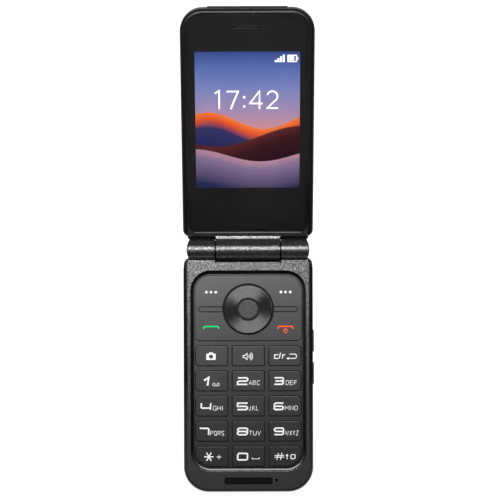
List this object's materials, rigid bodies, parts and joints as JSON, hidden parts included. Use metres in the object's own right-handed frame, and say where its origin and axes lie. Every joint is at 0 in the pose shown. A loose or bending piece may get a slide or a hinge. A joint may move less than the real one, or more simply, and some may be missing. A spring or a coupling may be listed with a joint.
{
  "type": "flip phone",
  "caption": "Flip phone lying open: keypad half flat on its back, display half leaning up behind it on a barrel hinge.",
  "frame": {"origin": "middle of the flat back face of the keypad half", "axes": "+X to the right of the keypad, +Y from the chin to the hinge, +Z out of the keypad"},
  "size_m": [0.0555, 0.2024, 0.0416],
  "materials": {
    "grey_metallic_plastic": "fine metallic paint, satin",
    "rear_plastic": "fine moulded texture",
    "key_plastic": "satin",
    "ring_plastic": "spun satin",
    "side_key_plastic": "satin",
    "cap_plastic": "satin",
    "lens_plastic": "clear acrylic with a printed border",
    "camera_lens_glass": "clear, printed border",
    "display": "lit display",
    "clear_plastic": "clear diffuser",
    "mesh": "woven mesh",
    "silicone": "silicone",
    "film": "film with metal domes",
    "board": "black solder mask",
    "steel": "pressed",
    "inner_black": "moulded",
    "battery_can": "aluminium can under a printed wrap",
    "cable_film": "polyimide film"
  },
  "bodies": {
    "base": {"base_front_housing": "grey_metallic_plastic", "base_rear_housing": "rear_plastic", "base_screws": "steel", "hinge_cartridge": "steel", "hinge_end_caps": "cap_plastic", "main_board": "board", "board_shield_cans": "steel", "battery_pack": "battery_can", "battery_contacts": "inner_black", "sim_card_socket": "steel", "usb_socket": "steel", "loudspeaker": "inner_black", "chin_grille": "mesh", "microphone": "inner_black", "vibration_motor": "steel", "keypad_web": "key_plastic", "keypad_rubber_mat": "silicone", "dome_sheet": "film", "side_key_switches": "inner_black"},
    "lid": {"lid_front_frame": "grey_metallic_plastic", "lid_rear_cover": "rear_plastic", "main_lens": "lens_plastic", "earpiece_grille": "mesh", "earpiece_receiver": "inner_black", "display_module": "display", "lid_board": "board", "outer_display": "display", "outer_lens": "lens_plastic", "camera_module": "inner_black", "camera_glass": "camera_lens_glass", "flash_lens": "clear_plastic", "lid_screws": "steel", "hinge_shaft": "steel", "hinge_pivot_pin": "steel", "hinge_flex_cable": "cable_film"},
    "battery_cover": {"battery_cover": "rear_plastic"},
    "nav_ring_carrier": {"nav_ring_carrier": "silicone"},
    "nav_ring": {"nav_ring": "ring_plastic"},
    "softkey_left": {"softkey_left": "key_plastic"},
    "softkey_right": {"softkey_right": "key_plastic"},
    "call_key": {"call_key": "key_plastic"},
    "end_key": {"end_key": "key_plastic"},
    "camera_key": {"camera_key": "key_plastic"},
    "speaker_key": {"speaker_key": "key_plastic"},
    "clear_key": {"clear_key": "key_plastic"},
    "key_1": {"key_1": "key_plastic"},
    "key_2": {"key_2": "key_plastic"},
    "key_3": {"key_3": "key_plastic"},
    "key_4": {"key_4": "key_plastic"},
    "key_5": {"key_5": "key_plastic"},
    "key_6": {"key_6": "key_plastic"},
    "key_7": {"key_7": "key_plastic"},
    "key_8": {"key_8": "key_plastic"},
    "key_9": {"key_9": "key_plastic"},
    "key_star": {"key_star": "key_plastic"},
    "key_0": {"key_0": "key_plastic"},
    "key_hash": {"key_hash": "key_plastic"},
    "ok_key": {"ok_key": "key_plastic"},
    "volume_up_key": {"volume_up_key": "side_key_plastic"},
    "volume_down_key": {"volume_down_key": "side_key_plastic"}
  },
  "joints": [
    {"name": "lid_hinge", "type": "hinge", "parent": "base", "child": "lid", "pos_m": [0, 0.0532, 0.01057], "axis": [1, 0, 0], "range_deg": [0, 162]},
    {"name": "battery_cover_slide", "type": "slide", "parent": "base", "child": "battery_cover", "axis": [0, 0, -1], "range_m": [0, 0.012]},
    {"name": "nav_ring_up_down", "type": "hinge", "parent": "base", "child": "nav_ring_carrier", "pos_m": [0, 0.02786, 0.00865], "axis": [1, 0, 0], "range_deg": [-1.5, 1.5], "stiffness_Nm_per_rad": 0.3},
    {"name": "nav_ring_left_right", "type": "hinge", "parent": "nav_ring_carrier", "child": "nav_ring", "pos_m": [0, 0.02786, 0.00925], "axis": [0, 1, 0], "range_deg": [-1.5, 1.5], "stiffness_Nm_per_rad": 0.3},
    {"name": "softkey_left_press", "type": "slide", "parent": "base", "child": "softkey_left", "axis": [0, 0, -1], "range_m": [0, 0.0003], "stiffness_N_per_m": 1500, "springref_m": -0.00005},
    {"name": "softkey_right_press", "type": "slide", "parent": "base", "child": "softkey_right", "axis": [0, 0, -1], "range_m": [0, 0.0003], "stiffness_N_per_m": 1500, "springref_m": -0.00005},
    {"name": "call_key_press", "type": "slide", "parent": "base", "child": "call_key", "axis": [0, 0, -1], "range_m": [0, 0.0003], "stiffness_N_per_m": 1500, "springref_m": -0.00005},
    {"name": "end_key_press", "type": "slide", "parent": "base", "child": "end_key", "axis": [0, 0, -1], "range_m": [0, 0.0003], "stiffness_N_per_m": 1500, "springref_m": -0.00005},
    {"name": "camera_key_press", "type": "slide", "parent": "base", "child": "camera_key", "axis": [0, 0, -1], "range_m": [0, 0.0003], "stiffness_N_per_m": 1500, "springref_m": -0.00005},
    {"name": "speaker_key_press", "type": "slide", "parent": "base", "child": "speaker_key", "axis": [0, 0, -1], "range_m": [0, 0.0003], "stiffness_N_per_m": 1500, "springref_m": -0.00005},
    {"name": "clear_key_press", "type": "slide", "parent": "base", "child": "clear_key", "axis": [0, 0, -1], "range_m": [0, 0.0003], "stiffness_N_per_m": 1500, "springref_m": -0.00005},
    {"name": "key_1_press", "type": "slide", "parent": "base", "child": "key_1", "axis": [0, 0, -1], "range_m": [0, 0.0003], "stiffness_N_per_m": 1500, "springref_m": -0.00005},
    {"name": "key_2_press", "type": "slide", "parent": "base", "child": "key_2", "axis": [0, 0, -1], "range_m": [0, 0.0003], "stiffness_N_per_m": 1500, "springref_m": -0.00005},
    {"name": "key_3_press", "type": "slide", "parent": "base", "child": "key_3", "axis": [0, 0, -1], "range_m": [0, 0.0003], "stiffness_N_per_m": 1500, "springref_m": -0.00005},
    {"name": "key_4_press", "type": "slide", "parent": "base", "child": "key_4", "axis": [0, 0, -1], "range_m": [0, 0.0003], "stiffness_N_per_m": 1500, "springref_m": -0.00005},
    {"name": "key_5_press", "type": "slide", "parent": "base", "child": "key_5", "axis": [0, 0, -1], "range_m": [0, 0.0003], "stiffness_N_per_m": 1500, "springref_m": -0.00005},
    {"name": "key_6_press", "type": "slide", "parent": "base", "child": "key_6", "axis": [0, 0, -1], "range_m": [0, 0.0003], "stiffness_N_per_m": 1500, "springref_m": -0.00005},
    {"name": "key_7_press", "type": "slide", "parent": "base", "child": "key_7", "axis": [0, 0, -1], "range_m": [0, 0.0003], "stiffness_N_per_m": 1500, "springref_m": -0.00005},
    {"name": "key_8_press", "type": "slide", "parent": "base", "child": "key_8", "axis": [0, 0, -1], "range_m": [0, 0.0003], "stiffness_N_per_m": 1500, "springref_m": -0.00005},
    {"name": "key_9_press", "type": "slide", "parent": "base", "child": "key_9", "axis": [0, 0, -1], "range_m": [0, 0.0003], "stiffness_N_per_m": 1500, "springref_m": -0.00005},
    {"name": "key_star_press", "type": "slide", "parent": "base", "child": "key_star", "axis": [0, 0, -1], "range_m": [0, 0.0003], "stiffness_N_per_m": 1500, "springref_m": -0.00005},
    {"name": "key_0_press", "type": "slide", "parent": "base", "child": "key_0", "axis": [0, 0, -1], "range_m": [0, 0.0003], "stiffness_N_per_m": 1500, "springref_m": -0.00005},
    {"name": "key_hash_press", "type": "slide", "parent": "base", "child": "key_hash", "axis": [0, 0, -1], "range_m": [0, 0.0003], "stiffness_N_per_m": 1500, "springref_m": -0.00005},
    {"name": "ok_key_press", "type": "slide", "parent": "base", "child": "ok_key", "axis": [0, 0, -1], "range_m": [0, 0.0003], "stiffness_N_per_m": 1500, "springref_m": -0.00005},
    {"name": "volume_up_key_press", "type": "slide", "parent": "base", "child": "volume_up_key", "axis": [-1, 0, 0], "range_m": [0, 0.0003], "stiffness_N_per_m": 1500, "springref_m": -0.00005},
    {"name": "volume_down_key_press", "type": "slide", "parent": "base", "child": "volume_down_key", "axis": [-1, 0, 0], "range_m": [0, 0.0003], "stiffness_N_per_m": 1500, "springref_m": -0.00005}
  ]
}
